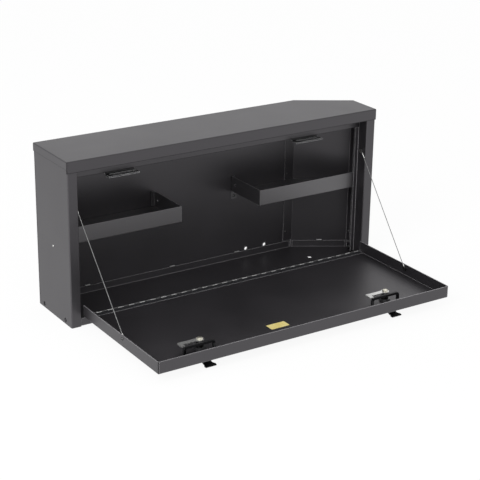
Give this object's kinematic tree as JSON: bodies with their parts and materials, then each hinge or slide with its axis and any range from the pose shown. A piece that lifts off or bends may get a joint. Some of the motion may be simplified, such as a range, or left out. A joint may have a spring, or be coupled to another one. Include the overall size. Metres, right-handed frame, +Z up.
{
  "type": "tailgate lockbox",
  "caption": "Shallow steel truck-bed lockbox with a drop-down front door on a continuous hinge, stay cables, cam locks, inner trays and an angled rear corner.",
  "frame": {"origin": "centre of the cabinet's bottom face, midway between the cap's left and right edges and between its front edge and the back panel", "axes": "+X to the right seen from the door, along the longest side; +Y from the door to the back panel; +Z up"},
  "size_m": [0.762, 0.4589, 0.3556],
  "materials": {
    "powder_black": "satin black powder coat with a fine texture",
    "hinge_steel": "dull rolled steel",
    "zinc_steel": "bright zinc plate",
    "lock_chrome": "polished die cast",
    "cable_steel": "stranded wire rope"
  },
  "bodies": {
    "cabinet": {"top_cap": "powder_black", "top_jamb": "powder_black", "left_side_panel": "powder_black", "right_side_panel": "powder_black", "back_panel": "powder_black", "corner_panel": "powder_black", "bottom_pan": "powder_black", "left_tray": "powder_black", "right_tray": "powder_black", "cabinet_hinge_leaf": "hinge_steel", "hinge_pin": "hinge_steel", "left_strike": "powder_black", "right_strike": "powder_black", "cable_anchors": "zinc_steel", "left_stay_cable": "cable_steel", "right_stay_cable": "cable_steel"},
    "door": {"door_pan": "powder_black", "door_hinge_leaf": "hinge_steel", "lock_brackets": "powder_black", "lock_barrels": "lock_chrome", "lock_nuts": "zinc_steel", "finger_pulls": "powder_black", "door_anchors": "zinc_steel"},
    "left_lock": {"left_lock_plug": "lock_chrome", "left_lock_cam": "zinc_steel", "left_cam_bolt": "zinc_steel"},
    "right_lock": {"right_lock_plug": "lock_chrome", "right_lock_cam": "zinc_steel", "right_cam_bolt": "zinc_steel"}
  },
  "joints": [
    {"name": "door_hinge", "type": "hinge", "parent": "cabinet", "child": "door", "pos_m": [0, -0.0737, 0.0206], "axis": [-1, 0, 0], "range_deg": [0, 90], "deforming": ["left_stay_cable", "right_stay_cable"]},
    {"name": "left_lock_turn", "type": "hinge", "parent": "door", "child": "left_lock", "pos_m": [-0.228, -0.3252, 0.04], "axis": [0, 0, 1], "range_deg": [0, 90]},
    {"name": "right_lock_turn", "type": "hinge", "parent": "door", "child": "right_lock", "pos_m": [0.228, -0.3252, 0.04], "axis": [0, 0, 1], "range_deg": [0, 90]}
  ]
}
